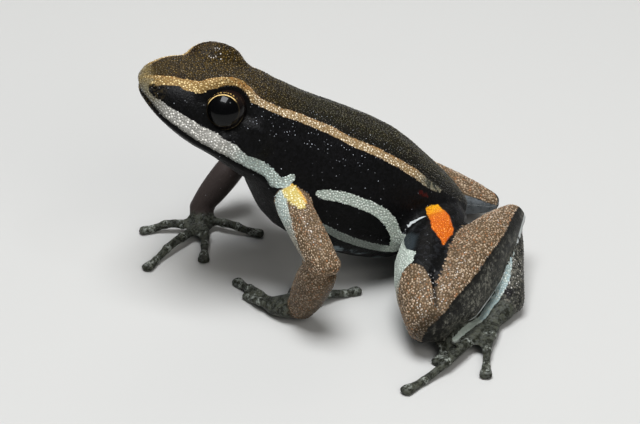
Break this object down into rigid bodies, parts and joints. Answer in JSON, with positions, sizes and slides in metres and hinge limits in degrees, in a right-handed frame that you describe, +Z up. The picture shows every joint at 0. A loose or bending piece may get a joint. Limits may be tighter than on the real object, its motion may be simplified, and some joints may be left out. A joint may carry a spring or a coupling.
{
  "type": "poison frog model",
  "caption": "Life-size model of a small striped poison frog sitting alert with its front end raised, hind legs folded and toes spread on the floor.",
  "frame": {"origin": "centre of the bounding box, on the floor that the frog sits on", "axes": "+Z up, the head toward -Y, the frog's left side toward +X"},
  "size_m": [0.037, 0.0288, 0.0183],
  "materials": {
    "black_skin": "moist satin",
    "olive_skin": "moist satin",
    "brown_skin": "granular satin",
    "grey_skin": "moist satin",
    "eye": "wet gloss"
  },
  "bodies": {
    "root": {"eye_l": "eye", "eye_r": "eye", "finger_1_l": "grey_skin", "finger_1_r": "grey_skin", "finger_2_l": "grey_skin", "finger_2_r": "grey_skin", "finger_3_l": "grey_skin", "finger_3_r": "grey_skin", "finger_4_l": "grey_skin", "finger_4_r": "grey_skin", "foot_l": "grey_skin", "foot_r": "grey_skin", "forearm_l": "brown_skin", "forearm_r": "brown_skin", "hand_l": "grey_skin", "hand_r": "grey_skin", "head": "olive_skin", "lower_jaw": "black_skin", "shank_l": "brown_skin", "shank_r": "brown_skin", "tarsus_l": "grey_skin", "tarsus_r": "grey_skin", "thigh_l": "brown_skin", "thigh_r": "brown_skin", "toe_1_l": "grey_skin", "toe_1_r": "grey_skin", "toe_2_l": "grey_skin", "toe_2_r": "grey_skin", "toe_3_l": "grey_skin", "toe_3_r": "grey_skin", "toe_4_l": "grey_skin", "toe_4_r": "grey_skin", "toe_5_l": "grey_skin", "toe_5_r": "grey_skin", "torso": "black_skin", "upper_arm_l": "brown_skin", "upper_arm_r": "brown_skin"}
  },
  "joints": []
}
